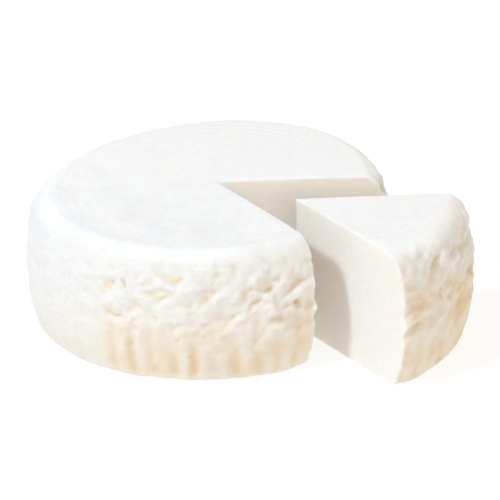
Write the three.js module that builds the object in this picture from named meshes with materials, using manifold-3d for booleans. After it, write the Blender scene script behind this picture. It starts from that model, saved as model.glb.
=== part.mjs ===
// A wheel of fresh white cheese, drained and pressed in a ribbed basket, with one wedge cut out of it
// and drawn part of the way out of its notch. Two loose pieces stand on their flat undersides:
//   wheel  what is left of the round, with two upright cut faces that meet near its middle
//   wedge  the piece cut from that notch, standing in the notch's mouth and clear of both cut faces
// Millimetres, +Z up. The origin is the middle of the wheel's underside, and the notch opens towards +X -Y.

import * as THREE from "three";
import { mergeVertices } from "three/addons/utils/BufferGeometryUtils.js";
import Module from "manifold-3d";

// The round, as it came out of its basket.
const WHEEL_RADIUS = 90; // at the belly, the widest height
const WHEEL_HEIGHT = 66; // over the middle
const BELLY_HEIGHT = 26;
const BASE_TAPER = 5; // how much narrower the foot is than the belly
const BASE_ROUND = 3; // rounding of the foot's edge
const SIDE_LEAN = 5; // how far the side leans in above the belly
const SHOULDER_REACH = 9.5; // rounded upper edge, measured inwards
const SHOULDER_DROP = 15; // and downwards

// Hand-pressed, so neither quite round nor quite level.
const OVAL = 0.038; // two-lobed share of the radius
const OVAL_TURN = THREE.MathUtils.degToRad(14);
const THREE_LOBED = -0.013; // three-lobed share of the radius
const TOP_SLOPE = [0.019, 0.037]; // rise of the top along X and Y

// The cut, and where the wedge has been drawn to.
const NOTCH_TIP = [2, -1.5];
const CUT_BACK = THREE.MathUtils.degToRad(0.8);
const CUT_FRONT = THREE.MathUtils.degToRad(-57.5);
const WEDGE_DRAWN = [38, -24];
const WEDGE_TURN = THREE.MathUtils.degToRad(0.9);

// Fineness of the faceted form.
const SECTORS = 96;
const SIDE_STEPS = 8;
const ROUND_STEPS = 4;
const SHOULDER_STEPS = 7;
const KNIFE_REACH = 3 * WHEEL_RADIUS; // the cutting prism passes right through the round
const KNIFE_OVERRUN = WHEEL_HEIGHT / 2;
const MERGE_DISTANCE = 1e-3; // points closer than this are one point

// How far a quarter round of size `reach` has come in at share `t` of its height, 0 to 1.
const quarterRound = (reach, t) => reach * (1 - Math.sqrt(1 - t * t));

// Radius of the round at height z, before its unevenness.
function sideRadius(z) {
  const shoulderStart = WHEEL_HEIGHT - SHOULDER_DROP;
  let radius = WHEEL_RADIUS;
  if (z < BELLY_HEIGHT) {
    radius -= BASE_TAPER * ((BELLY_HEIGHT - z) / BELLY_HEIGHT) ** 2;
  } else {
    radius -= SIDE_LEAN * ((z - BELLY_HEIGHT) / (WHEEL_HEIGHT - BELLY_HEIGHT)) ** 2;
  }
  if (z < BASE_ROUND) radius -= quarterRound(BASE_ROUND, (BASE_ROUND - z) / BASE_ROUND);
  if (z > shoulderStart) radius -= quarterRound(SHOULDER_REACH, (z - shoulderStart) / SHOULDER_DROP);
  return radius;
}

// Heights of the profile's points: close together where it is round, and even along the side.
function profileHeights() {
  const shoulderStart = WHEEL_HEIGHT - SHOULDER_DROP;
  const quarter = Math.PI / 2;
  const heights = [];
  for (let i = 0; i < ROUND_STEPS; i++) {
    heights.push(BASE_ROUND * (1 - Math.cos((quarter * i) / ROUND_STEPS)));
  }
  for (let i = 0; i < SIDE_STEPS; i++) {
    heights.push(BASE_ROUND + ((shoulderStart - BASE_ROUND) * i) / SIDE_STEPS);
  }
  for (let i = 0; i < SHOULDER_STEPS; i++) {
    heights.push(shoulderStart + SHOULDER_DROP * Math.sin((quarter * i) / SHOULDER_STEPS));
  }
  heights.push(WHEEL_HEIGHT);
  return heights;
}

// Pulls a point of the even round to where the uneven one has it.
function makeUneven(point) {
  const turn = Math.atan2(point.y, point.x);
  const lobes = 1 + OVAL * Math.sin(2 * turn - OVAL_TURN) + THREE_LOBED * Math.cos(3 * turn);
  point.x *= lobes;
  point.y *= lobes;
  point.z *= 1 + (TOP_SLOPE[0] * point.x + TOP_SLOPE[1] * point.y) / WHEEL_HEIGHT;
  return point;
}

// The whole round before it is cut.
function wholeRound() {
  const profile = profileHeights().map((z) => new THREE.Vector2(sideRadius(z), z));
  profile.unshift(new THREE.Vector2(0, 0));
  profile.push(new THREE.Vector2(0, WHEEL_HEIGHT));
  const geometry = new THREE.LatheGeometry(profile, SECTORS);
  geometry.rotateX(Math.PI / 2); // a lathe turns about Y, and the round stands on Z
  const positions = geometry.getAttribute("position");
  const point = new THREE.Vector3();
  for (let i = 0; i < positions.count; i++) {
    makeUneven(point.fromBufferAttribute(positions, i));
    positions.setXYZ(i, point.x, point.y, point.z);
  }
  return geometry;
}

// The prism that the two knife cuts bound, from the notch's tip outwards.
function cutSector() {
  const outline = new THREE.Shape();
  outline.moveTo(0, 0);
  outline.lineTo(KNIFE_REACH * Math.cos(CUT_FRONT), KNIFE_REACH * Math.sin(CUT_FRONT));
  outline.lineTo(KNIFE_REACH * Math.cos(CUT_BACK), KNIFE_REACH * Math.sin(CUT_BACK));
  outline.closePath();
  const depth = WHEEL_HEIGHT + 2 * KNIFE_OVERRUN;
  const geometry = new THREE.ExtrudeGeometry(outline, { depth, bevelEnabled: false });
  geometry.translate(NOTCH_TIP[0], NOTCH_TIP[1], -KNIFE_OVERRUN);
  return geometry;
}

const wasm = await Module();
wasm.setup();

// A closed three.js geometry as a manifold-3d solid.
function toSolid(geometry) {
  const positionOnly = new THREE.BufferGeometry();
  positionOnly.setAttribute("position", geometry.getAttribute("position"));
  positionOnly.setIndex(geometry.getIndex());
  const merged = mergeVertices(positionOnly, MERGE_DISTANCE);
  const vertProperties = merged.getAttribute("position").array;
  const triVerts = new Uint32Array(merged.getIndex().array);
  return new wasm.Manifold(new wasm.Mesh({ numProp: 3, vertProperties, triVerts }));
}

// A manifold-3d solid as a three.js geometry.
function toGeometry(solid) {
  const { vertProperties, triVerts } = solid.getMesh();
  const geometry = new THREE.BufferGeometry();
  geometry.setAttribute("position", new THREE.BufferAttribute(new Float32Array(vertProperties), 3));
  geometry.setIndex(new THREE.BufferAttribute(new Uint32Array(triVerts), 1));
  geometry.computeVertexNormals();
  return geometry;
}

function namedMesh(name, geometry, material) {
  const mesh = new THREE.Mesh(geometry, material);
  mesh.name = name;
  return mesh;
}

// Fresh pressed curd: nearly white, a little warm, moist and faintly satin.
const curd = new THREE.MeshStandardMaterial({ color: 0xf3efe4, roughness: 0.5, metalness: 0 });

const round = toSolid(wholeRound());
const sector = toSolid(cutSector());

const wheel = namedMesh("wheel", toGeometry(round.subtract(sector)), curd);

// The wedge turns about its own tip and slides out of the notch, along the board it stands on.
const wedgeGeometry = toGeometry(round.intersect(sector));
wedgeGeometry.translate(-NOTCH_TIP[0], -NOTCH_TIP[1], 0);
const wedge = namedMesh("wedge", wedgeGeometry, curd);
wedge.position.set(NOTCH_TIP[0] + WEDGE_DRAWN[0], NOTCH_TIP[1] + WEDGE_DRAWN[1], 0);
wedge.rotation.z = WEDGE_TURN;

const cheese = new THREE.Group();
cheese.add(wheel, wedge);

export default cheese;
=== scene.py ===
import math

import bpy
import numpy as np
from mathutils import Matrix, Vector
from mathutils.geometry import delaunay_2d_cdt


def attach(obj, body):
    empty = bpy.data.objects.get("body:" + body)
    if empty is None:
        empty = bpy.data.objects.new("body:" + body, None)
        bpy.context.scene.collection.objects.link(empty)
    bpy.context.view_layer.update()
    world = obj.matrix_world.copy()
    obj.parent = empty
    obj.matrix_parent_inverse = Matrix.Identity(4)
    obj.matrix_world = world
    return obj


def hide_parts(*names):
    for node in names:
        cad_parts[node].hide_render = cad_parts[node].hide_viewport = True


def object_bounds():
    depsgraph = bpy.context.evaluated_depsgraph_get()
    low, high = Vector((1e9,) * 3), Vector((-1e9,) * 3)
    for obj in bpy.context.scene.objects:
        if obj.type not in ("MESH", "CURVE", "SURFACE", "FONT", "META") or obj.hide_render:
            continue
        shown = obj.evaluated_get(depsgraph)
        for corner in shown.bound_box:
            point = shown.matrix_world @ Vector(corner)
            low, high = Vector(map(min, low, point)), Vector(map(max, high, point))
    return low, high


# Fresh basket-pressed cheese: a wheel and the wedge drawn out of its notch.
# Lengths are metres, written as so many mm. Both pieces are shaped where the wedge came from,
# so that its rind carries on from the wheel's, and then the wedge goes where the frame has it.

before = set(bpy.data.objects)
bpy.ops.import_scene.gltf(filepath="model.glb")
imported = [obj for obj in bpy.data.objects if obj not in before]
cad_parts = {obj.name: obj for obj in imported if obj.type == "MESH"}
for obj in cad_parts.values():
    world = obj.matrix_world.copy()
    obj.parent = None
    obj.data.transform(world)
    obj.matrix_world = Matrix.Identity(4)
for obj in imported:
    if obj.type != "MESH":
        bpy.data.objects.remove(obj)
cadLow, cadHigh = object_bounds()
mm = 0.001
print("frame loaded with", len(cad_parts), "nodes")

roundForm = {
    "radius": 90 * mm,  # at the belly
    "height": 66 * mm,
    "bellyHeight": 26 * mm,
    "baseTaper": 5 * mm,
    "baseRound": 3 * mm,
    "sideLean": 5 * mm,
    "shoulderReach": 9.5 * mm,
    "shoulderDrop": 15 * mm,
    "oval": 0.038,
    "ovalTurn": 14,  # degrees
    "threeLobed": -0.013,
    "topSlope": (0.019, 0.037),
}

knifeCuts = {
    "tip": (2 * mm, -1.5 * mm),
    "back": 0.8,  # degrees around the tip
    "front": -57.5,
    "wedgeTurn": 0.9,
}

fineness = {
    "rindColumns": 768,  # around the whole round
    "rindStep": 0.72 * mm,
    "roundSteps": 5,
    "topStep": 1.25 * mm,
    "topEdgeStep": 0.8 * mm,
    "cutStep": 1.25 * mm,
    "undersideStep": 5 * mm,
}


def put(tree, kind, inputs=None, **settings):
    node = tree.nodes.new(kind)
    for name, value in settings.items():
        setattr(node, name, value)
    for key, value in (inputs or {}).items():
        plug(tree, value, node.inputs[key])
    return node


def plug(tree, value, socket):
    if isinstance(value, bpy.types.NodeSocket):
        tree.links.new(value, socket)
    else:
        socket.default_value = value


def maths(tree, operation, *values):
    node = put(tree, "ShaderNodeMath", operation=operation)
    for socket, value in zip(node.inputs, values):
        plug(tree, value, socket)
    return node.outputs[0]


def inTurn(tree, operation, first, *others):
    for other in others:
        first = maths(tree, operation, first, other)
    return first


def plus(tree, *values):
    return inTurn(tree, "ADD", *values)


def minus(tree, *values):
    return inTurn(tree, "SUBTRACT", *values)


def times(tree, *values):
    return inTurn(tree, "MULTIPLY", *values)


def over(tree, *values):
    return inTurn(tree, "DIVIDE", *values)


def larger(tree, *values):
    return inTurn(tree, "MAXIMUM", *values)


def vectors(tree, operation, *values, scale=None):
    node = put(tree, "ShaderNodeVectorMath", operation=operation)
    for socket, value in zip(node.inputs, values):
        plug(tree, value, socket)
    if scale is not None:
        plug(tree, scale, node.inputs["Scale"])
    return node.outputs["Value" if operation in ("DOT_PRODUCT", "LENGTH") else "Vector"]


def part(tree, vector, number):
    # one of a vector's three numbers
    return put(tree, "ShaderNodeSeparateXYZ", {0: vector}).outputs[number]


def joined(tree, x, y, z=0.0):
    return put(tree, "ShaderNodeCombineXYZ", {0: x, 1: y, 2: z}).outputs[0]


def ease(tree, value, low, high, toLow=0.0, toHigh=1.0):
    # a smooth step from toLow at low to toHigh at high
    node = put(tree, "ShaderNodeMapRange", interpolation_type="SMOOTHSTEP")
    names = ("Value", "From Min", "From Max", "To Min", "To Max")
    for name, given in zip(names, (value, low, high, toLow, toHigh)):
        plug(tree, given, node.inputs[name])
    return node.outputs[0]


def cloud(tree, spot, size, seed, detail=2.0, rough=0.5, distort=0.0):
    # smooth noise around 0.5, with lumps of about that size
    node = put(tree, "ShaderNodeTexNoise",
               {"Vector": spot, "Detail": detail, "Roughness": rough, "Distortion": distort},
               noise_dimensions="4D")
    plug(tree, over(tree, 0.55, size), node.inputs["Scale"])
    plug(tree, seed, node.inputs["W"])
    return node.outputs[0]


def swing(tree, value, reach):
    # noise of 0 to 1 as a swing of -reach to +reach
    return times(tree, minus(tree, value, 0.5), times(tree, reach, 2.0))


def scattered(tree, place, spacing, inner, outer):
    # round spots, full within inner and gone by outer, and a chance number for each
    cells = put(tree, "ShaderNodeTexVoronoi", {"Vector": place, "Scale": over(tree, 1.0, spacing)},
                voronoi_dimensions="3D", feature="F1")
    away = times(tree, cells.outputs["Distance"], spacing)
    return ease(tree, away, inner, outer, 1.0, 0.0), part(tree, cells.outputs["Color"], 0)


def facing(tree, turn, degrees):
    # 1 where the side faces that way, down to -1 on its far side
    away = minus(tree, turn, over(tree, degrees, 360.0))
    return maths(tree, "COSINE", times(tree, away, 2 * math.pi))


def newTree(name, sizes):
    # a geometry tree with a named input for each of its sizes, the marks and the material
    tree = bpy.data.node_groups.new(name, "GeometryNodeTree")
    tree.interface.new_socket("Geometry", in_out="INPUT", socket_type="NodeSocketGeometry")
    for label in sizes:
        tree.interface.new_socket(label, in_out="INPUT", socket_type="NodeSocketFloat")
    tree.interface.new_socket("marks", in_out="INPUT", socket_type="NodeSocketObject")
    tree.interface.new_socket("material", in_out="INPUT", socket_type="NodeSocketMaterial")
    tree.interface.new_socket("Geometry", in_out="OUTPUT", socket_type="NodeSocketGeometry")
    return tree, put(tree, "NodeGroupInput").outputs


def stored(tree, name, kind="FLOAT"):
    node = put(tree, "GeometryNodeInputNamedAttribute", {"Name": name}, data_type=kind)
    return node.outputs["Attribute"]


def store(tree, geometry, name, value):
    node = put(tree, "GeometryNodeStoreNamedAttribute", {"Geometry": geometry, "Name": name, "Value": value},
               data_type="FLOAT", domain="POINT")
    return node.outputs[0]


def blurred(tree, value, rounds, kind="FLOAT"):
    node = put(tree, "GeometryNodeBlurAttribute", {"Value": value, "Iterations": rounds}, data_type=kind)
    return node.outputs[0]


def moveAlong(tree, geometry, way, distance):
    offset = vectors(tree, "SCALE", way, scale=distance)
    return put(tree, "GeometryNodeSetPosition", {"Geometry": geometry, "Offset": offset}).outputs[0]


def pushOut(tree, geometry, relief):
    # moves the surface out along its stored push
    return moveAlong(tree, geometry, stored(tree, "push", "FLOAT_VECTOR"), relief)


def closeTree(tree, geometry, material):
    real = put(tree, "GeometryNodeRealizeInstances", {"Geometry": geometry})
    dressed = put(tree, "GeometryNodeSetMaterial", {"Geometry": real.outputs[0], "Material": material})
    put(tree, "NodeGroupOutput", {"Geometry": dressed.outputs[0]})


def addTree(piece, tree, sizes, material, marks=None):
    modifier = piece.modifiers.new(tree.name, "NODES")
    modifier.node_group = tree
    given = dict(sizes, material=material, marks=marks)
    for item in tree.interface.items_tree:
        if item.in_out == "INPUT" and given.get(item.name) is not None:
            value = given[item.name]
            modifier[item.identifier] = float(value) if isinstance(value, (int, float)) else value


def settle(piece):
    # the evaluated result as the piece's own plain mesh
    bpy.context.view_layer.update()
    graph = bpy.context.evaluated_depsgraph_get()
    evaluated = piece.evaluated_get(graph)
    mesh = bpy.data.meshes.new_from_object(evaluated, preserve_all_data_layers=True, depsgraph=graph)
    piece.modifiers.clear()
    piece.data = mesh
    return mesh


def lobes(turn):
    twoLobed = roundForm["oval"] * np.sin(2 * turn - math.radians(roundForm["ovalTurn"]))
    return 1 + twoLobed + roundForm["threeLobed"] * np.cos(3 * turn)


def sideRadius(height):
    form = roundForm
    below = np.clip((form["bellyHeight"] - height) / form["bellyHeight"], 0, 1)
    above = np.clip((height - form["bellyHeight"]) / (form["height"] - form["bellyHeight"]), 0, 1)
    foot = np.clip((form["baseRound"] - height) / form["baseRound"], 0, 1)
    shoulder = np.clip((height - form["height"] + form["shoulderDrop"]) / form["shoulderDrop"], 0, 1)
    radius = form["radius"] - form["baseTaper"] * below ** 2 - form["sideLean"] * above ** 2
    radius = radius - form["baseRound"] * (1 - np.sqrt(1 - foot ** 2))
    return radius - form["shoulderReach"] * (1 - np.sqrt(1 - shoulder ** 2))


def tilted(x, y, height):
    slope = roundForm["topSlope"]
    return height * (1 + (slope[0] * x + slope[1] * y) / roundForm["height"])


def profileHeights():
    # heights of the rind's rows, round the foot, up the side and over the shoulder
    form = roundForm
    quarter = math.pi / 2
    shoulderStart = form["height"] - form["shoulderDrop"]
    shoulderLength = quarter * (form["shoulderDrop"] + form["shoulderReach"]) / 2
    sideSteps = round((shoulderStart - form["baseRound"]) / fineness["rindStep"])
    shoulderSteps = round(shoulderLength / fineness["rindStep"])
    foot = form["baseRound"] * (1 - np.cos(np.linspace(0, quarter, fineness["roundSteps"], endpoint=False)))
    side = np.linspace(form["baseRound"], shoulderStart, sideSteps, endpoint=False)
    shoulder = shoulderStart + form["shoulderDrop"] * np.sin(np.linspace(0, quarter, shoulderSteps + 1))
    return np.concatenate([foot, side, shoulder])


def reachFromTip(directions, heights):
    # how far the rind is from the notch's tip, for each direction and height, found by halving
    tip = knifeCuts["tip"]
    low = np.zeros((len(directions), len(heights)))
    high = np.full_like(low, 2 * roundForm["radius"])
    for _ in range(40):
        middle = (low + high) / 2
        x = tip[0] + middle * np.cos(directions)[:, None]
        y = tip[1] + middle * np.sin(directions)[:, None]
        outside = np.hypot(x, y) > sideRadius(heights)[None, :] * lobes(np.arctan2(y, x))
        high = np.where(outside, middle, high)
        low = np.where(outside, low, middle)
    return low


def insideOutline(points, outline, margin):
    # the points that lie inside a closed outline, and further than margin from it
    start = outline
    end = np.roll(outline, -1, axis=0)
    run = end - start
    batch = 1500  # points at a time, to spare memory
    kept = np.zeros(len(points), bool)
    for first in range(0, len(points), batch):
        some = points[first:first + batch, None, :]
        share = np.clip(((some - start) * run).sum(2) / np.maximum((run ** 2).sum(1), 1e-18), 0, 1)
        far = np.sqrt((((start + share[..., None] * run) - some) ** 2).sum(2)).min(1) > margin
        spans = (start[:, 1] > some[..., 1]) != (end[:, 1] > some[..., 1])
        rise = np.where(run[:, 1] == 0, 1, run[:, 1])
        crossing = start[:, 0] + (some[..., 1] - start[:, 1]) / rise * run[:, 0]
        inside = (spans & (some[..., 0] < crossing)).sum(1) % 2 == 1
        kept[first:first + batch] = far & inside
    return points[kept]


def fillFlat(outline, step, margin):
    # points on a triangular grid inside the outline, and triangles over them and the outline's own points
    low, high = outline.min(0), outline.max(0)
    rows = np.arange(low[1], high[1], step * math.sqrt(3) / 2)
    columns = np.arange(low[0], high[0], step)
    grid = np.array([(x + (k % 2) * step / 2, y) for k, y in enumerate(rows) for x in columns])
    inner = insideOutline(grid, outline, margin)
    scale = 1 / mm  # the triangulation works best on numbers of about this size
    every = [Vector(p) * scale for p in np.concatenate([outline, inner])]
    loop = list(range(len(outline)))
    result = delaunay_2d_cdt(every, [], [loop], 1, 1e-7)
    origin = [found[0] for found in result[3]]
    return inner, [tuple(origin[v] for v in face) for face in result[2]]


def between(start, end, step):
    # the points strictly between two corners, evenly spaced
    count = max(2, round(float(np.linalg.norm(end - start)) / step))
    return start + (end - start) * (np.arange(1, count) / count)[:, None]


class Shape:
    # a mesh being put together, with what its surface needs to know at each point
    def __init__(self):
        self.points = []
        self.faces = []
        self.facts = {"push": [], "turn": [], "climb": [], "topShare": [], "cutShare": []}

    def add(self, points, **facts):
        first = len(self.points)
        self.points.extend(tuple(p) for p in points)
        for name, values in self.facts.items():
            blank = (0, 0, 0) if name == "push" else 0.0
            values.extend(facts.get(name, [blank] * len(points)))
        return list(range(first, first + len(points)))


def rindPush(rind, directions):
    # which way is out, for each point of the rind
    normal = np.cross(np.gradient(rind, axis=0), np.gradient(rind, axis=1))
    normal /= np.linalg.norm(normal, axis=2)[..., None]
    for column in (0, -1):  # these stay in the plane of the knife
        across = np.array([-math.sin(directions[column]), math.cos(directions[column]), 0])
        normal[column] -= (normal[column] @ across)[:, None] * across
    normal[:, 0, 2] = 0  # the foot's edge stays down
    return normal


def shellOf(startTurn, endTurn):
    # the rind, top and underside between two cuts, still open at the cuts
    tip = np.array(knifeCuts["tip"])
    columns = round(fineness["rindColumns"] * (endTurn - startTurn) / 360)
    directions = np.radians(np.linspace(startTurn, endTurn, columns + 1))
    heights = profileHeights()
    rows = len(heights)
    reach = reachFromTip(directions, heights)
    x = tip[0] + reach * np.cos(directions)[:, None]
    y = tip[1] + reach * np.sin(directions)[:, None]
    rind = np.stack([x, y, tilted(x, y, heights[None, :])], 2)

    steps = np.linalg.norm(np.diff(rind[columns // 2], axis=0), axis=1)
    climb = np.concatenate([[0], np.cumsum(steps)])
    turn = directions[:, None] + (np.arctan2(y, x) - directions[:, None] + math.pi) % (2 * math.pi) - math.pi
    shoulder = np.clip((heights - heights[-1] + roundForm["shoulderDrop"]) / roundForm["shoulderDrop"], 0, 1)
    topShare = 1 - np.sqrt(1 - shoulder ** 2)

    shape = Shape()
    shape.add(rind.reshape(-1, 3),
              push=rindPush(rind, directions).reshape(-1, 3).tolist(),
              turn=(turn / (2 * math.pi)).ravel().tolist(),
              climb=np.tile(climb, columns + 1).tolist(),
              topShare=np.tile(topShare, columns + 1).tolist())
    for j in range(columns):
        for i in range(rows - 1):
            a = j * rows + i
            shape.faces.append((a, a + rows, a + rows + 1, a + 1))

    def close(row, height, step, edgeStep, margin, up):
        # the top or underside, from the tip out to that row of the rind
        edge = rind[:, row, :2]
        corners = np.concatenate([[tip], between(tip, edge[0], edgeStep)])
        endLine = between(edge[-1], tip, edgeStep)

        def lay(flat):
            count = len(flat)
            levelled = np.column_stack([flat, tilted(flat[:, 0], flat[:, 1], height)])
            return shape.add(levelled, push=[(0, 0, 1) if up else (0, 0, 0)] * count,
                             topShare=[1.0 if up else 0.0] * count, climb=[climb[row]] * count)

        first = lay(corners)
        last = lay(endLine)
        rindEdge = [j * rows + row % rows for j in range(columns + 1)]
        inner, faces = fillFlat(np.concatenate([corners, edge, endLine]), step, margin)
        every = first + rindEdge + last + lay(inner)
        shape.faces.extend(tuple(every[v] for v in (face if up else face[::-1])) for face in faces)
        return first, last

    topStart, topEnd = close(-1, roundForm["height"], fineness["topStep"], fineness["topEdgeStep"],
                             0.6 * fineness["topStep"], True)
    lowStart, lowEnd = close(0, 0.0, fineness["undersideStep"], fineness["cutStep"],
                             1.6 * fineness["undersideStep"], False)
    rindStart = list(range(0, rows))
    rindEnd = list(range(columns * rows, (columns + 1) * rows))
    edges = {
        "start": (lowStart, rindStart, topStart[1:][::-1], topStart[0]),
        "end": ([lowStart[0]] + lowEnd[::-1], rindEnd, topEnd, topStart[0]),
    }
    return shape, edges


def meshOf(name, shape):
    mesh = bpy.data.meshes.new(name)
    mesh.from_pydata(shape.points, [], shape.faces)
    for fact, values in shape.facts.items():
        kind = "FLOAT_VECTOR" if fact == "push" else "FLOAT"
        layer = mesh.attributes.new(fact, kind, "POINT")
        layer.data.foreach_set("vector" if fact == "push" else "value", np.array(values, np.float32).ravel())
    spot = mesh.attributes.new("spot", "FLOAT_VECTOR", "POINT")
    spot.data.foreach_set("vector", np.array(shape.points, np.float32).ravel())
    mesh.shade_smooth()
    piece = bpy.data.objects.new(name, mesh)
    bpy.context.scene.collection.objects.link(piece)
    return piece


def closeCuts(piece, shape, edges, startTurn, endTurn):
    # fills the two cut faces between the rind as it now stands and the line above the tip
    points = np.empty(len(piece.data.vertices) * 3)
    piece.data.vertices.foreach_get("co", points)
    points = points.reshape(-1, 3)
    shape.points = [tuple(p) for p in points]
    tip = np.array(knifeCuts["tip"])
    lowTip, highTip = edges["start"][0][0], edges["start"][3]
    tipLine = shape.add(between(points[lowTip], points[highTip], fineness["cutStep"]))
    for side, turn in (("start", startTurn), ("end", endTurn)):
        low, rind, top, _ = edges[side]
        loop = low + rind + top + [highTip] + tipLine[::-1]
        along = np.array([math.cos(math.radians(turn)), math.sin(math.radians(turn))])
        every = np.array(shape.points)[loop]
        outline = np.column_stack([(every[:, :2] - tip) @ along, every[:, 2]])
        inner, faces = fillFlat(outline, fineness["cutStep"], 0.6 * fineness["cutStep"])
        inside = np.column_stack([tip + inner[:, :1] * along, inner[:, 1]])
        numbers = loop + shape.add(inside, cutShare=[1.0] * len(inside))
        for face in faces:
            shape.faces.append(tuple(numbers[v] for v in (face if side == "start" else face[::-1])))


pressLumps = {
    "size": 36 * mm,
    "depth": 1.1 * mm,
    "smallSize": 12 * mm,
    "smallDepth": 0.5 * mm,
    "topPart": 0.3,
    "seed": 4,
}


def pressLumpsTree():
    # slow swells of the whole side, less of them on the top
    tree, given = newTree("pressLumps", pressLumps)
    spot = stored(tree, "spot", "FLOAT_VECTOR")
    seed = given["seed"]
    slow = swing(tree, cloud(tree, spot, given["size"], seed, 1.0), given["depth"])
    small = swing(tree, cloud(tree, spot, given["smallSize"], plus(tree, seed, 7.0)), given["smallDepth"])
    fade = ease(tree, stored(tree, "topShare"), 0.0, 1.0, 1.0, given["topPart"])
    relief = times(tree, plus(tree, slow, small), fade)
    closeTree(tree, pushOut(tree, given["Geometry"], relief), given["material"])
    return tree


basketRibs = {
    "count": 57,
    "phase": 0.5125,  # of one rib
    "depth": 1.15 * mm,
    "wander": 0.26,  # of one rib
    "wanderSize": 13 * mm,
    "top": 30 * mm,
    "topWander": 9 * mm,
    "fade": 13 * mm,
    "firmTurn": 283,  # degrees, where the cheese leant on its basket
    "least": 0.1,  # how much of the ribs is left where it didn't
    "patchSize": 46 * mm,
    "lip": 3.2 * mm,  # the smooth band at the foot
    "lipSize": 14 * mm,
    "stainFull": 12 * mm,  # up to here the basket's stain is full
    "stainEnd": 40 * mm,  # and here it is gone
    "paintedShadeTurn": 330,  # degrees, where the side is painted tan as shade, facing away from the light
    "paintedShadeFull": 34 * mm,
    "paintedShadeEnd": 58 * mm,
    "paintedShadeStrength": 1.5,
    "seed": 21,
}


def basketRibsTree():
    # upright grooves from the basket's slats, each with its own width, depth and fading head
    tree, given = newTree("basketRibs", basketRibs)
    spot = stored(tree, "spot", "FLOAT_VECTOR")
    turn = stored(tree, "turn")
    seed = given["seed"]
    height = part(tree, spot, 2)
    bend = swing(tree, cloud(tree, spot, given["wanderSize"], seed, 1.0), given["wander"])
    place = plus(tree, maths(tree, "MULTIPLY_ADD", turn, given["count"], given["phase"]), bend)
    groove = maths(tree, "FLOORED_MODULO", maths(tree, "FLOOR", place), given["count"])
    off = maths(tree, "ABSOLUTE", minus(tree, maths(tree, "FRACT", place), 0.5))

    def own(offset, low, high):
        # a number of each groove's own
        which = maths(tree, "MULTIPLY_ADD", groove, 1.37, offset)
        chance = put(tree, "ShaderNodeTexWhiteNoise", {"W": which}, noise_dimensions="1D").outputs["Value"]
        return maths(tree, "MULTIPLY_ADD", chance, high - low, low)

    head = plus(tree, given["top"], times(tree, own(7.9, -1.0, 1.0), given["topWander"]))
    arch = over(tree, minus(tree, plus(tree, height, given["fade"]), head), given["fade"])
    arch = larger(tree, arch, 0.0)
    across = over(tree, off, own(5.7, 0.4, 0.5))
    out = maths(tree, "SQRT", plus(tree, times(tree, across, across), times(tree, arch, arch)))
    valley = ease(tree, out, 0.0, 1.05, 1.0, 0.0)

    # firm where the cheese leant on its basket, and in patches elsewhere
    leaning = facing(tree, turn, given["firmTurn"])
    patch = ease(tree, cloud(tree, spot, given["patchSize"], plus(tree, seed, 5.0), 1.0), 0.47, 0.62)
    elsewhere = times(tree, patch, ease(tree, leaning, 0.0, 0.4, 0.9, 0.1))
    firm = larger(tree, ease(tree, leaning, 0.6, 0.84), elsewhere)
    strength = ease(tree, firm, 0.0, 1.0, given["least"], 1.0)
    uneven = ease(tree, cloud(tree, spot, given["lipSize"], plus(tree, seed, 8.0)), 0.3, 0.7, 0.3, 1.7)
    lip = times(tree, given["lip"], uneven)
    foot = ease(tree, height, times(tree, lip, 0.2), times(tree, lip, 1.8), 0.15, 1.0)
    held = times(tree, strength, foot)
    valley = times(tree, valley, own(9.3, 0.3, 1.0), held)
    moved = pushOut(tree, given["Geometry"], times(tree, valley, given["depth"], -1.0))

    # how strongly the basket stained the side, and painted shade on the side that faces away from the light
    pressed = times(tree, held, ease(tree, height, given["stainFull"], given["stainEnd"], 1.0, 0.0))
    # painted shade: the side facing away from the light is made tan, fading out towards the top
    tanned = ease(tree, facing(tree, turn, given["paintedShadeTurn"]), 0.84, 0.93, 0.0, given["paintedShadeStrength"])
    tanned = times(tree, tanned, ease(tree, height, given["paintedShadeFull"], given["paintedShadeEnd"], 1.0, 0.0))
    moved = store(tree, moved, "ribbed", valley)
    moved = store(tree, moved, "pressed", larger(tree, pressed, tanned))
    closeTree(tree, moved, given["material"])
    return tree


curdLedges = {
    "girth": 2 * math.pi * roundForm["radius"],
    "lean": 14,  # degrees, the way the lumps run up to the right
    "wide": 11 * mm,  # a lump's width
    "tall": 9.5 * mm,  # and height
    "soften": 0.6,  # how far one lump runs into the next
    "ragged": 3.6 * mm,  # how uneven their outlines are
    "raggedSize": 7 * mm,
    "stepDepth": 1.1 * mm,  # how differently they stand out
    "tiltDepth": 1.3 * mm,  # how much further their tops stand out than their feet
    "smallPart": 0.5,  # the smaller lumps' share of that size and depth
    "inset": 0.45 * mm,  # how far all of it lies in from the even side
    "smallSize": 4.2 * mm,
    "smallDepth": 0.5 * mm,
    "grainSize": 2.2 * mm,
    "grainDepth": 0.3 * mm,
    "hem": 12 * mm,  # how far the upper and lower limits of it all wander
    "lowStart": 18 * mm,  # it grows in between these two, measured up the rind
    "lowFull": 36 * mm,
    "belowPart": 0.25,  # what there is of it below
    "highFull": 55 * mm,  # and fades out between these
    "highEnd": 72 * mm,
    "calmTurn": 205,  # degrees, where the side is smoother
    "calmPart": 0.5,
    "seed": 12,
}


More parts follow.
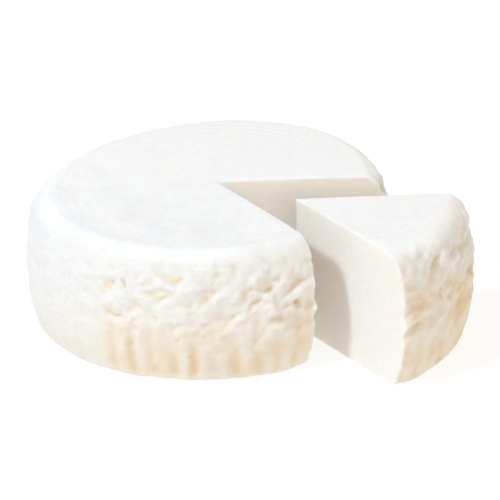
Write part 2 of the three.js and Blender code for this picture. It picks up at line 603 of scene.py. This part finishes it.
def curdLedgesTree():
    # curd that settled in lumps, tilted outwards at their tops, with creases and grains over them
    tree, given = newTree("curdLedges", curdLedges)
    spot = stored(tree, "spot", "FLOAT_VECTOR")
    climb = stored(tree, "climb")
    turn = stored(tree, "turn")

    def seeded(more):
        return plus(tree, given["seed"], more)

    # the side rolled out flat, leant over, made ragged and measured in lumps
    flat = joined(tree, times(tree, turn, given["girth"]), climb)
    angle = times(tree, given["lean"], -math.pi / 180)
    leant = put(tree, "ShaderNodeVectorRotate", {"Vector": flat, "Angle": angle}, rotation_type="Z_AXIS")
    across = swing(tree, cloud(tree, spot, given["raggedSize"], seeded(1.0), 3.0, 0.6), given["ragged"])
    upwards = swing(tree, cloud(tree, spot, given["raggedSize"], seeded(2.0), 3.0, 0.6), given["ragged"])
    ragged = vectors(tree, "ADD", leant.outputs[0], joined(tree, across, upwards))
    inLumps = vectors(tree, "DIVIDE", ragged, joined(tree, given["wide"], given["tall"], 1.0))

    def lumps(place, more):
        # every lump stands out by a chance of its own, and tilts by another
        cell = put(tree, "ShaderNodeTexVoronoi",
                   {"Vector": place, "W": seeded(more), "Scale": 1.0, "Smoothness": given["soften"]},
                   voronoi_dimensions="4D", feature="SMOOTH_F1").outputs
        above = part(tree, vectors(tree, "SUBTRACT", place, cell["Position"]), 1)
        tilt = times(tree, ease(tree, above, -0.5, 0.4, -1.0, 1.0), given["tiltDepth"])
        tilt = times(tree, tilt, ease(tree, part(tree, cell["Color"], 1), 0.3, 0.62, 0.15, 1.0))
        return plus(tree, swing(tree, part(tree, cell["Color"], 0), given["stepDepth"]), tilt)

    smaller = vectors(tree, "SCALE", inLumps, scale=over(tree, 1.0, given["smallPart"]))
    fine = times(tree, lumps(smaller, 3.0), given["smallPart"])
    relief = minus(tree, plus(tree, lumps(inLumps, 0.0), fine), given["inset"])

    # round tops on the smallest lumps, with a crease wherever the noise crosses its middle
    small = cloud(tree, spot, given["smallSize"], seeded(34.0), 1.5, 0.5, 0.3)
    away = maths(tree, "ABSOLUTE", minus(tree, small, 0.5))
    crease = maths(tree, "POWER", ease(tree, away, 0.0, 0.18, 1.0, 0.0), 1.3)
    patches = cloud(tree, spot, times(tree, given["smallSize"], 2.2), seeded(28.0), 1.0)
    crease = times(tree, crease, ease(tree, patches, 0.4, 0.6, 0.1, 1.0), given["smallDepth"])
    grain = swing(tree, cloud(tree, spot, given["grainSize"], seeded(40.0), 2.0, 0.55), given["grainDepth"])
    relief = plus(tree, minus(tree, relief, crease), grain)

    # in a band along the side, and less where the side is calm
    hem = plus(tree, climb, swing(tree, cloud(tree, spot, given["hem"], seeded(31.0)), given["hem"]))
    low = ease(tree, hem, given["lowStart"], given["lowFull"], given["belowPart"], 1.0)
    high = ease(tree, hem, given["highFull"], given["highEnd"], 1.0, 0.0)
    calm = ease(tree, facing(tree, turn, given["calmTurn"]), 0.72, 0.95, 1.0, given["calmPart"])
    relief = blurred(tree, times(tree, times(tree, relief, low), times(tree, high, calm)), 2)
    closeTree(tree, pushOut(tree, given["Geometry"], relief), given["material"])
    return tree


# The main creases and pits: each has a route of (degrees around, mm up), a width and a depth in mm.
rindMarks = [
    ([(264, 41), (267, 45), (270, 50), (273, 51), (277, 54)], 3.0, 2.0),
    ([(270, 50.5)], 2.2, 1.2),
    ([(250, 35), (251.5, 37), (254, 37), (255.5, 34)], 2.2, 1.3),
    ([(231, 48), (237, 49), (245, 50)], 3.2, 1.2),
    ([(237.5, 48.5)], 2.0, 1.6),
    ([(244.5, 49.5), (244.2, 51.5)], 1.8, 2.0),
    ([(241, 34.5), (244, 33.5), (247, 33)], 1.0, 0.9),
    ([(247, 36), (247.5, 30), (246.5, 20), (246, 8)], 2.6, 1.3),
    ([(260, 50), (261.5, 54), (262.5, 57)], 2.0, 1.1),
    ([(254, 49), (259, 49)], 1.8, 0.9),
    ([(272, 57), (275, 57)], 1.6, 0.9),
    ([(283, 46), (285, 49.5), (288, 53), (290, 58)], 2.6, 1.1),
    ([(285, 49)], 1.6, 1.3),
    ([(281, 37), (284, 41), (288.5, 41.5), (291, 44)], 2.2, 1.2),
    ([(289, 41)], 1.5, 1.3),
    ([(294.5, 50.5), (297, 51), (299, 54)], 3.4, 1.3),
    ([(293, 44), (298, 45)], 5.0, 0.5),
    ([(297, 37.5)], 2.6, 3.0),
    ([(267.6, 25.5), (268.6, 26.5)], 1.1, 1.1),
    ([(260.5, 24)], 1.1, 0.9),
    ([(256, 32), (260, 31.5), (263, 33)], 1.6, 0.8),
    ([(292.5, 26.5)], 1.2, 0.9),
    ([(219, 46), (224, 47), (229, 45)], 2.6, 0.9),
    ([(206, 50), (211, 53)], 2.4, 0.9),
    ([(222, 24)], 1.3, 0.8),
    ([(306, 52)], 3.0, 1.2),
    ([(306, 43), (309, 41.5), (313.5, 40)], 4.0, 1.8),
    ([(314, 39)], 1.8, 1.2),
    ([(321.5, 44), (321, 40), (321, 36)], 2.0, 2.2),
    ([(316, 56), (320, 56), (324, 57)], 2.4, 1.0),
    ([(335, 52), (339, 55)], 2.0, 1.0),
    ([(331, 36), (336, 38)], 2.4, 0.9),
    ([(28, 44), (34, 49), (41, 50)], 2.6, 1.5),
    ([(72, 38), (79, 41), (83, 47)], 2.4, 1.4),
    ([(80, 41)], 2.0, 1.4),
    ([(118, 50), (126, 48)], 3.0, 1.3),
    ([(151, 36), (156, 39), (163, 40)], 2.4, 1.5),
    ([(175, 47), (181, 51)], 2.4, 1.3),
]


def marksObject():
    # the marks' routes as close-set points on the rind, each with its width and depth
    points, widths, depths = [], [], []
    for route, width, depth in rindMarks:
        route = np.array(route, float)
        corners = range(len(route))
        along = np.diff(route[:, 0]) * math.pi / 180 * roundForm["radius"] / mm
        length = np.hypot(along, np.diff(route[:, 1])).sum()
        count = max(1, round(length / 0.5))
        for k, at in enumerate(np.linspace(0, len(route) - 1, count)):
            turn = math.radians(np.interp(at, corners, route[:, 0]))
            height = np.interp(at, corners, route[:, 1]) * mm
            radius = float(sideRadius(np.array(height)) * lobes(turn))
            x = radius * math.cos(turn)
            y = radius * math.sin(turn)
            points.append((x, y, float(tilted(x, y, height))))
            taper = 1.0 if count == 1 else math.sin(math.pi * (k + 1) / (count + 1)) ** 0.6
            widths.append(width * mm * (0.5 + 0.5 * taper))
            depths.append(depth * mm * taper)
    mesh = bpy.data.meshes.new("rindMarks")
    mesh.from_pydata(points, [], [])
    for name, values in (("width", widths), ("depth", depths)):
        mesh.attributes.new(name, "FLOAT", "POINT").data.foreach_set("value", values)
    routes = bpy.data.objects.new("rindMarks", mesh)
    bpy.context.scene.collection.objects.link(routes)
    return routes


handMarks = {
    "ragged": 2.8 * mm,
    "raggedSize": 7 * mm,
    "lip": 0.1,  # of the depth
    "wide": 1.25,  # times each mark's own width
    "deep": 0.75,  # and depth
    "seed": 3,
}


def handMarksTree():
    # sinks each mark into the rind, with a ragged edge and a slight lip
    tree, given = newTree("handMarks", handMarks)
    spot = stored(tree, "spot", "FLOAT_VECTOR")
    noise = put(tree, "ShaderNodeTexNoise",
                {"Vector": spot, "W": given["seed"], "Scale": over(tree, 1.0, given["raggedSize"]),
                 "Detail": 3.0, "Roughness": 0.65}, noise_dimensions="4D").outputs["Color"]
    stray = vectors(tree, "SUBTRACT", noise, (0.5, 0.5, 0.5))
    stray = vectors(tree, "SCALE", stray, scale=times(tree, given["ragged"], 2.0))
    sampled = vectors(tree, "ADD", spot, stray)
    routes = put(tree, "GeometryNodeObjectInfo", {"Object": given["marks"]}).outputs["Geometry"]
    away = put(tree, "GeometryNodeProximity", {0: routes, "Source Position": sampled},
               target_element="POINTS")
    nearest = put(tree, "GeometryNodeSampleNearest", {0: routes, "Sample Position": sampled},
                  domain="POINT")

    def read(name):
        node = put(tree, "GeometryNodeSampleIndex", {"Geometry": routes, "Index": nearest.outputs[0]},
                   data_type="FLOAT", domain="POINT")
        tree.links.new(stored(tree, name), node.inputs["Value"])
        return node.outputs[0]

    share = over(tree, away.outputs["Distance"], times(tree, read("width"), given["wide"]))
    hollow = ease(tree, share, 0.0, 1.15, -1.0, 0.0)
    lip = times(tree, ease(tree, share, 0.8, 1.2), ease(tree, share, 1.2, 2.0, 1.0, 0.0))
    form = plus(tree, hollow, times(tree, lip, given["lip"]))
    relief = times(tree, form, times(tree, read("depth"), given["deep"]))
    closeTree(tree, pushOut(tree, given["Geometry"], relief), given["material"])
    return tree


footEdge = {
    "waver": 0.6 * mm,
    "size": 9 * mm,
    "reach": 6 * mm,
    "seed": 17,
}


def footEdgeTree():
    # a foot edge that isn't quite even
    tree, given = newTree("footEdge", footEdge)
    spot = stored(tree, "spot", "FLOAT_VECTOR")
    foot = ease(tree, part(tree, spot, 2), 0.0, given["reach"], 1.0, 0.0)
    waver = swing(tree, cloud(tree, spot, given["size"], given["seed"]), given["waver"])
    closeTree(tree, pushOut(tree, given["Geometry"], times(tree, waver, foot)), given["material"])
    return tree


smallPits = {
    "spacing": 9 * mm,
    "width": 1.1 * mm,
    "depth": 0.9 * mm,
    "share": 0.35,  # of the places where one could be
    "grainSize": 2.6 * mm,
    "grainDepth": 0.16 * mm,
    "topPart": 0.12,
    "seed": 8,
}


def smallPitsTree():
    # pinholes and a fine grain all over the side, much fainter on the top
    tree, given = newTree("smallPits", smallPits)
    spot = stored(tree, "spot", "FLOAT_VECTOR")
    flat = vectors(tree, "MULTIPLY", spot, (1.0, 1.0, 1.3))
    pit, chance = scattered(tree, flat, given["spacing"], 0.0, given["width"])
    pit = times(tree, pit, maths(tree, "LESS_THAN", chance, given["share"]), given["depth"])
    grain = swing(tree, cloud(tree, spot, given["grainSize"], given["seed"], 3.0, 0.6), given["grainDepth"])
    side = ease(tree, stored(tree, "topShare"), 0.1, 0.8, 1.0, 0.0)
    relief = times(tree, minus(tree, grain, pit), ease(tree, side, 0.0, 1.0, given["topPart"], 1.0))
    closeTree(tree, pushOut(tree, given["Geometry"], relief), given["material"])
    return tree


topRings = {
    "pitch": 5 * mm,
    "depth": 0.07 * mm,
    "inner": 48 * mm,  # the rings grow in from here
    "outer": 70 * mm,  # and are full from here out
    "drift": 0.35,  # of one ring
    "driftSize": 32 * mm,
    "brokenSize": 16 * mm,
    "ripple": 0.07 * mm,
    "rippleSize": 3.4 * mm,
    "speckSpacing": 11 * mm,
    "speckSize": 0.9 * mm,
    "speckHeight": 0.3 * mm,
    "seed": 6,
}


def topRingsTree():
    # broken rings from the basket's lid, a fine ripple from the cloth, and a few specks and pinholes
    tree, given = newTree("topRings", topRings)
    spot = stored(tree, "spot", "FLOAT_VECTOR")
    seed = given["seed"]
    out = vectors(tree, "LENGTH", vectors(tree, "MULTIPLY", spot, (1.0, 1.0, 0.0)))
    drift = swing(tree, cloud(tree, spot, given["driftSize"], seed, 1.0), given["drift"])
    place = plus(tree, over(tree, out, given["pitch"]), drift)
    wave = maths(tree, "COSINE", times(tree, place, 2 * math.pi))
    broken = ease(tree, cloud(tree, spot, given["brokenSize"], plus(tree, seed, 4.0), 1.0), 0.4, 0.62)
    rim = ease(tree, out, given["inner"], given["outer"])
    rings = times(tree, times(tree, wave, broken), times(tree, rim, given["depth"]))
    combed = vectors(tree, "MULTIPLY", spot, (0.22, 1.0, 1.0))
    ripple = swing(tree, cloud(tree, combed, given["rippleSize"], plus(tree, seed, 8.0)), given["ripple"])
    speck, chance = scattered(tree, spot, given["speckSpacing"], 0.0, given["speckSize"])
    raised = maths(tree, "LESS_THAN", chance, 0.22)
    sunk = maths(tree, "GREATER_THAN", chance, 0.84)
    speck = times(tree, speck, minus(tree, raised, sunk), given["speckHeight"])
    relief = times(tree, plus(tree, rings, ripple, speck), ease(tree, stored(tree, "topShare"), 0.35, 1.0))
    closeTree(tree, pushOut(tree, given["Geometry"], relief), given["material"])
    return tree


frontCut = math.radians(knifeCuts["front"])
cornerOut = roundForm["radius"] * 0.93  # from the tip

knifeFinish = {
    "wave": 0.3 * mm,
    "waveSize": 30 * mm,
    "drag": 0.05 * mm,
    "dragSize": 2.4 * mm,
    "pitSpacing": 12 * mm,
    "pitInner": 0.2 * mm,
    "pitWidth": 1.1 * mm,
    "pitDepth": 0.8 * mm,
    "pitShare": 0.3,
    "crumb": 1.1 * mm,
    "crumbSize": 3.2 * mm,
    "crumbPatch": 12 * mm,
    "cornerX": knifeCuts["tip"][0] + cornerOut * math.cos(frontCut),
    "cornerY": knifeCuts["tip"][1] + cornerOut * math.sin(frontCut),
    "cornerReach": 11 * mm,
    "cornerWear": 2.6 * mm,
    "cavity": 0.35 * mm,  # a spot that lies this far in counts as hollow
    "crispAngle": 0.6,  # radians
    "seed": 15,
}


def knifeFinishTree():
    # the cut faces' slow wave, drag lines and holes, their crumbling edges, and how hollow each spot lies
    tree, given = newTree("knifeFinish", knifeFinish)
    spot = put(tree, "GeometryNodeInputPosition").outputs[0]
    normal = put(tree, "GeometryNodeInputNormal").outputs[0]
    cutEdge = stored(tree, "cutEdge")
    seed = given["seed"]
    slow = swing(tree, cloud(tree, spot, given["waveSize"], seed, 1.0), given["wave"])
    upright = vectors(tree, "MULTIPLY", spot, (1.0, 1.0, 0.1))
    drag = swing(tree, cloud(tree, upright, given["dragSize"], plus(tree, seed, 2.0)), given["drag"])
    pit, chance = scattered(tree, spot, given["pitSpacing"], given["pitInner"], given["pitWidth"])
    pit = times(tree, pit, maths(tree, "LESS_THAN", chance, given["pitShare"]), given["pitDepth"])
    inner = ease(tree, blurred(tree, stored(tree, "cutShare"), 1), 0.6, 1.0)
    relief = times(tree, minus(tree, plus(tree, slow, drag), pit), inner)
    face = moveAlong(tree, given["Geometry"], normal, relief)

    near = ease(tree, blurred(tree, cutEdge, 2), 0.05, 0.5)
    face = store(tree, face, "rim", ease(tree, blurred(tree, cutEdge, 12), 0.02, 0.18))
    ragged = ease(tree, cloud(tree, spot, given["crumbSize"], plus(tree, seed, 6.0)), 0.5, 0.75)
    patch = ease(tree, cloud(tree, spot, given["crumbPatch"], plus(tree, seed, 9.0), 1.0), 0.4, 0.6)
    crumb = times(tree, times(tree, ragged, patch), times(tree, near, given["crumb"]))
    crumbled = moveAlong(tree, face, normal, times(tree, crumb, -1.0))

    # the foot's corner at the front cut, rubbed round
    corner = joined(tree, given["cornerX"], given["cornerY"])
    apart = vectors(tree, "LENGTH", vectors(tree, "SUBTRACT", spot, corner))
    worn = times(tree, ease(tree, apart, 0.0, given["cornerReach"], 1.0, 0.0), given["cornerWear"])
    crumbled = moveAlong(tree, crumbled, vectors(tree, "NORMALIZE", corner), times(tree, worn, -1.0))

    def dip(rounds, depth):
        # how far a spot lies in from what surrounds it
        around = blurred(tree, spot, rounds, "FLOAT_VECTOR")
        inwards = vectors(tree, "DOT_PRODUCT", vectors(tree, "SUBTRACT", around, spot), normal)
        return over(tree, inwards, depth)

    # how far in each spot lies; the material paints shade into these hollows
    marked = store(tree, crumbled, "hollow", dip(12, given["cavity"]))
    marked = store(tree, marked, "broadHollow", dip(60, times(tree, given["cavity"], 2.0)))

    # nothing goes below the ground
    level = joined(tree, part(tree, spot, 0), part(tree, spot, 1), larger(tree, part(tree, spot, 2), 0.0))
    stood = put(tree, "GeometryNodeSetPosition", {"Geometry": marked, "Position": level}).outputs[0]

    # a knife leaves a crisp edge
    bent = put(tree, "GeometryNodeInputMeshEdgeAngle").outputs["Unsigned Angle"]
    crisp = times(tree, maths(tree, "GREATER_THAN", bent, given["crispAngle"]),
                  maths(tree, "GREATER_THAN", near, 0.5))
    stood = put(tree, "GeometryNodeSetShadeSmooth",
                {"Geometry": stood, "Selection": crisp, "Shade Smooth": False}, domain="EDGE").outputs[0]
    closeTree(tree, stood, given["material"])
    return tree


curdLook = {
    # the top's colour, lighter and cooler than the side's: painted light from above
    "top": (0.90, 0.935, 0.985, 1),
    "white": (0.735, 0.73, 0.72, 1),
    "cream": (0.78, 0.70, 0.57, 1),
    "tan": (0.74, 0.59, 0.39, 1),
    "ochre": (0.66, 0.45, 0.20, 1),
    "cut": (0.82, 0.775, 0.715, 1),
    "mottleSize": 9 * mm,
    "paintedLowBounce": 0.38,  # how far the lower side is painted cream, standing in for warm light bounced up from below and shade low down
    "paintedLowBounceReach": 46 * mm,
    # cream in the hollows: the curd's own whey colour, and painted shade in the recesses
    "hollowWheyAndShade": 0.75,
    "paintedTopLightStart": 56 * mm,  # the side's white turns into the top's painted light, lighter and cooler, between these
    "paintedTopLightFull": 67 * mm,
    "stainSize": 11 * mm,
    "stainTan": 0.6,
    # tan in the rib grooves: basket stain, and painted shade in the grooves
    "ribStainAndShade": 0.85,
    # tan over broad hollows: painted shade
    "broadHollowShade": 0.3,
    # ochre low in the rib grooves: basket stain, and painted shade in the grooves
    "lowRibStainAndShade": 0.4,
    # ochre in the deepest hollows: painted shade
    "deepHollowShade": 0.5,
    "edgeWhite": 0.9,  # along the cut edges
    "cutPart": 0.8,
    "grainSize": 1.3 * mm,
    "grainBump": 0.15 * mm,
    "rough": 0.55,
    "shine": 0.35,
    "scatter": 0.7,
    "scatterReach": 3 * mm,
    "scatterTint": (1.0, 0.7, 0.45),
}


def blendColours(tree, share, first, second):
    node = put(tree, "ShaderNodeMix", data_type="RGBA")
    plug(tree, share, node.inputs[0])
    plug(tree, first, node.inputs[6])
    plug(tree, second, node.inputs[7])
    return node.outputs[2]


def attributeOf(tree, name):
    return put(tree, "ShaderNodeAttribute", attribute_name=name).outputs["Fac"]


def curdColour(tree, place, mottle):
    # white with painted light and shade: cream low down for warm bounced light, cream in the hollows partly
    # for whey and partly for shade, tan and ochre in the ribs and hollows for basket stain and painted
    # shade, and a lighter, cooler top for the light from above
    look = curdLook
    height = part(tree, place, 2)
    hollow = attributeOf(tree, "hollow")
    ribbed = attributeOf(tree, "ribbed")
    cut = attributeOf(tree, "cutShare")
    broad = attributeOf(tree, "broadHollow")

    # painted light: the side goes cream towards the bottom, standing in for warm bounced light and shade low
    # down
    low = ease(tree, plus(tree, height, swing(tree, mottle, 12 * mm)), 2 * mm, look["paintedLowBounceReach"], 1.0, 0.0)
    # cream in the hollows and broad hollows: partly the curd's own whey colour, partly painted shade in the
    # recesses
    dip = ease(tree, plus(tree, hollow, swing(tree, mottle, 0.3)), -0.1, 1.1)
    wide = ease(tree, plus(tree, broad, swing(tree, mottle, 0.5)), 0.1, 1.3)
    warm = larger(tree, times(tree, low, look["paintedLowBounce"]),
                  times(tree, larger(tree, dip, wide), look["hollowWheyAndShade"]))
    warm = times(tree, warm, ease(tree, cut, 0.0, 1.0, 1.0, 0.35))
    # painted light: the top is made lighter and cooler than the side, for the light falling from above
    topward = plus(tree, height, swing(tree, mottle, 5 * mm))
    paintedTopLight = ease(tree, topward, look["paintedTopLightStart"], look["paintedTopLightFull"])
    colour = blendColours(tree, paintedTopLight, look["white"], look["top"])
    colour = blendColours(tree, warm, colour, look["cream"])

    # the pressed attribute holds basket stain and the painted shade on the side facing away from the light
    stain = ease(tree, cloud(tree, place, look["stainSize"], 7.0, 3.0), 0.38, 0.62, 0.2, 1.0)
    tanned = times(tree, attributeOf(tree, "pressed"), times(tree, stain, look["stainTan"]))
    tanned = larger(tree, tanned, times(tree, ribbed, look["ribStainAndShade"]), times(tree, wide, look["broadHollowShade"]))
    colour = blendColours(tree, tanned, colour, look["tan"])
    # ochre low in the grooves (basket stain and painted shade) and in the deepest hollows (painted shade)
    deep = times(tree, ribbed, ease(tree, height, 4 * mm, 26 * mm, 1.0, 0.0), look["lowRibStainAndShade"])
    deep = larger(tree, deep, times(tree, ease(tree, hollow, 0.8, 3.0), look["deepHollowShade"]))
    colour = blendColours(tree, deep, colour, look["ochre"])

    edge = times(tree, attributeOf(tree, "rim"), minus(tree, 1.0, paintedTopLight), look["edgeWhite"])
    colour = blendColours(tree, edge, colour, look["white"])
    return blendColours(tree, times(tree, cut, look["cutPart"]), colour, look["cut"])


def freshCurd():
    material = bpy.data.materials.new("freshCurd")
    material.use_nodes = True
    tree = material.node_tree
    tree.nodes.clear()
    place = put(tree, "ShaderNodeTexCoord").outputs["Object"]
    mottle = cloud(tree, place, curdLook["mottleSize"], 2.0, 3.0)
    fine = cloud(tree, place, curdLook["grainSize"], 5.0, 3.0, 0.6)
    tint = ease(tree, fine, 0.2, 0.8, 0.97, 1.03)
    colour = vectors(tree, "SCALE", curdColour(tree, place, mottle), scale=tint)
    bump = put(tree, "ShaderNodeBump", {"Strength": 0.5, "Distance": curdLook["grainBump"], "Height": fine})
    rough = ease(tree, mottle, 0.2, 0.8, curdLook["rough"] - 0.08, curdLook["rough"] + 0.1)
    shader = put(tree, "ShaderNodeBsdfPrincipled",
                 {"Base Color": colour, "Roughness": rough, "Normal": bump.outputs[0]})
    shader.inputs["Subsurface Weight"].default_value = curdLook["scatter"]
    shader.inputs["Subsurface Radius"].default_value = curdLook["scatterTint"]
    shader.inputs["Subsurface Scale"].default_value = curdLook["scatterReach"]
    shader.inputs["Specular IOR Level"].default_value = curdLook["shine"]
    put(tree, "ShaderNodeOutputMaterial", {"Surface": shader.outputs[0]})
    return material


curd = freshCurd()
marks = marksObject()
rindTrees = [
    (pressLumpsTree(), pressLumps),
    (basketRibsTree(), basketRibs),
    (curdLedgesTree(), curdLedges),
    (handMarksTree(), handMarks),
    (footEdgeTree(), footEdge),
    (smallPitsTree(), smallPits),
    (topRingsTree(), topRings),
]
knifeTree = knifeFinishTree()
print("curd, marks and relief trees ready")


def buildPiece(name, startTurn, endTurn):
    # first the rind with all its relief, then the cut faces, which reach to wherever the rind now ends
    shape, edges = shellOf(startTurn, endTurn)
    piece = meshOf(name, shape)
    for tree, sizes in rindTrees:
        addTree(piece, tree, sizes, curd, marks)
    settle(piece)
    count = len(piece.data.vertices)
    print(name, "rind shaped,", count, "points")
    ribbing = {}
    for fact in ("ribbed", "pressed"):
        ribbing[fact] = np.zeros(count, np.float32)
        piece.data.attributes[fact].data.foreach_get("value", ribbing[fact])
    closeCuts(piece, shape, edges, startTurn, endTurn)
    for fact, values in ribbing.items():
        shape.facts[fact] = list(values) + [0.0] * (len(shape.points) - count)
    loops = set()
    for low, rind, top, highTip in edges.values():
        loops.update(low + rind + top + [highTip])
    shape.facts["cutEdge"] = [1.0 if k in loops else 0.0 for k in range(len(shape.points))]
    bpy.data.objects.remove(piece)

    piece = meshOf(name, shape)
    addTree(piece, knifeTree, knifeFinish, curd)
    mesh = settle(piece)
    for spent in ("push", "turn", "climb", "topShare", "spot", "cutEdge"):
        mesh.attributes.remove(mesh.attributes[spent])
    mesh.shade_smooth()
    print(name, len(mesh.vertices), "points", sum(len(p.vertices) - 2 for p in mesh.polygons), "triangles")
    return piece


wheel = buildPiece("cheeseWheel", knifeCuts["back"], 360 + knifeCuts["front"])
wedge = buildPiece("cheeseWedge", knifeCuts["front"] + 360, knifeCuts["back"] + 360)
bpy.data.objects.remove(marks)

# The wedge turns about its own point, and its point goes where the frame's wedge has it.
tip = Vector((*knifeCuts["tip"], 0))
turned = Matrix.Rotation(math.radians(knifeCuts["wedgeTurn"]), 4, "Z")
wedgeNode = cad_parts["wedge"]
point = min((v.co for v in wedgeNode.data.vertices), key=lambda co: co.x)
wedge.data.transform(Matrix.Translation((point.x, point.y, 0)) @ turned @ Matrix.Translation(-tip))
wedge.data.update()

for piece, node in ((wheel, "wheel"), (wedge, "wedge")):
    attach(piece, "root")
    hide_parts(node)
print("wheel and wedge stand for their nodes")


studio = {
    "floor": (0.25, 0.25, 0.25, 1),
    "floorGlow": 0.79,
    "floorReach": 8.0,  # metres each way
    "floorDrop": 0.1 * mm,
    "keyTurn": 216,  # degrees around, where the light stands
    "keyRise": 44,
    "keyDistance": 2.2,
    "keySize": 0.32,
    "keyPower": 29,
    "keyColour": (0.70, 0.84, 1.0),
    "fillTurn": -70,
    "fillRise": 22,
    "fillDistance": 2.4,
    "fillSize": 1.5,
    "fillPower": 12,
    "fillColour": (1.0, 0.88, 0.6),
    "sky": (0.94, 0.85, 0.755, 1),
    "skyStrength": 0.7,
}

view = {
    "lens": 144,
    "distance": 984 * mm,
    "aimShift": (0.6 * mm, 3.0 * mm, -5.6 * mm),  # from the middle of the frame's box
    "turn": -90,  # degrees
    "rise": 23.18,
    "roll": -0.51,
    "farthest": 50,  # metres
}

middle = (Vector(cadLow) + Vector(cadHigh)) / 2


def towards(turnDegrees, riseDegrees):
    turn, rise = math.radians(turnDegrees), math.radians(riseDegrees)
    return Vector((math.cos(turn) * math.cos(rise), math.sin(turn) * math.cos(rise), math.sin(rise)))


def buildFloor():
    mesh = bpy.data.meshes.new("floor")
    reach, level = studio["floorReach"], -studio["floorDrop"]
    corners = [(x * reach, y * reach, level) for x, y in ((-1, -1), (1, -1), (1, 1), (-1, 1))]
    mesh.from_pydata(corners, [], [(0, 1, 2, 3)])
    floor = bpy.data.objects.new("floor", mesh)
    bpy.context.scene.collection.objects.link(floor)
    material = bpy.data.materials.new("paleFloor")
    material.use_nodes = True
    tree = material.node_tree
    tree.nodes.clear()
    matt = put(tree, "ShaderNodeBsdfDiffuse", {"Color": studio["floor"]}).outputs[0]
    white = (1, 1, 1, 1)
    glow = put(tree, "ShaderNodeEmission", {"Color": white, "Strength": studio["floorGlow"]}).outputs[0]
    both = put(tree, "ShaderNodeAddShader", {0: matt, 1: glow}).outputs[0]
    put(tree, "ShaderNodeOutputMaterial", {"Surface": both})
    mesh.materials.append(material)


def addLamp(name):
    light = bpy.data.lights.new(name, "AREA")
    light.shape = "DISK"
    light.size = studio[name + "Size"]
    light.energy = studio[name + "Power"]
    light.color = studio[name + "Colour"]
    lamp = bpy.data.objects.new(name, light)
    outward = towards(studio[name + "Turn"], studio[name + "Rise"])
    lamp.location = middle + outward * studio[name + "Distance"]
    lamp.rotation_euler = outward.to_track_quat("Z", "Y").to_euler()
    bpy.context.scene.collection.objects.link(lamp)


def buildSky():
    world = bpy.data.worlds.new("studio")
    world.use_nodes = True
    sky = world.node_tree.nodes["Background"]
    sky.inputs["Color"].default_value = studio["sky"]
    sky.inputs["Strength"].default_value = studio["skyStrength"]
    bpy.context.scene.world = world


def buildCamera():
    data = bpy.data.cameras.new("camera")
    data.lens = view["lens"]
    data.clip_end = view["farthest"]
    camera = bpy.data.objects.new("camera", data)
    aim = middle + Vector(view["aimShift"])
    camera.location = aim + towards(view["turn"], view["rise"]) * view["distance"]
    tipped = Matrix.Rotation(math.radians(90 - view["rise"]), 3, "X")
    rolled = Matrix.Rotation(math.radians(view["roll"]), 3, "Z")
    camera.rotation_euler = (tipped @ rolled).to_euler()
    bpy.context.scene.collection.objects.link(camera)
    bpy.context.scene.camera = camera


buildFloor()
addLamp("key")
addLamp("fill")
buildSky()
buildCamera()
bpy.context.scene.view_settings.view_transform = "Standard"
print("studio set")
